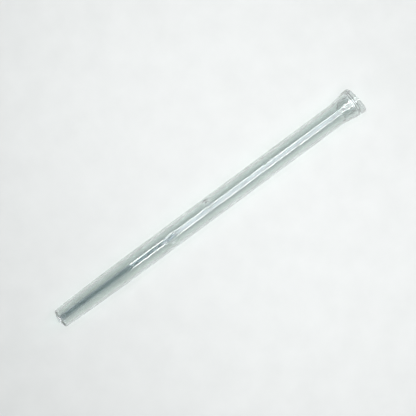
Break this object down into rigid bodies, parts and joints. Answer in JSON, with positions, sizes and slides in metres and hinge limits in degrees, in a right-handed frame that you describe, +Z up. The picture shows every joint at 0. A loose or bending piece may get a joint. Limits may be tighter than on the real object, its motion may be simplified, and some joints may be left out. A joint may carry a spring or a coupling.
{
  "type": "liebig condenser",
  "caption": "Slim jacketed glass condenser: a small inner tube in a water jacket, flared vapour mouth, domed drip end and flush water ports.",
  "frame": {"origin": "on the tube's axis, at the middle of the straight jacket, where a clamp grips it", "axes": "+X along the axis from the drip end to the vapour mouth, +Z up, through the side that the water ports are on"},
  "size_m": [0.3534, 0.0276, 0.0276],
  "materials": {
    "jacket_glass": "clear borosilicate, drawn tubing with faint lengthwise draw lines",
    "seal_glass": "clear borosilicate, flame-worked and slightly uneven",
    "inner_glass": "clear borosilicate, smooth small-bore tubing"
  },
  "bodies": {
    "root": {"jacket_tube": "jacket_glass", "jacket_taper": "jacket_glass", "jacket_bell": "jacket_glass", "mouth_lip": "seal_glass", "lower_ring_seal": "seal_glass", "drip_nozzle": "inner_glass", "condensing_tube": "inner_glass", "vapour_cup": "inner_glass", "upper_ring_seal": "seal_glass", "water_inlet_port": "seal_glass", "water_outlet_port": "seal_glass"}
  },
  "joints": []
}
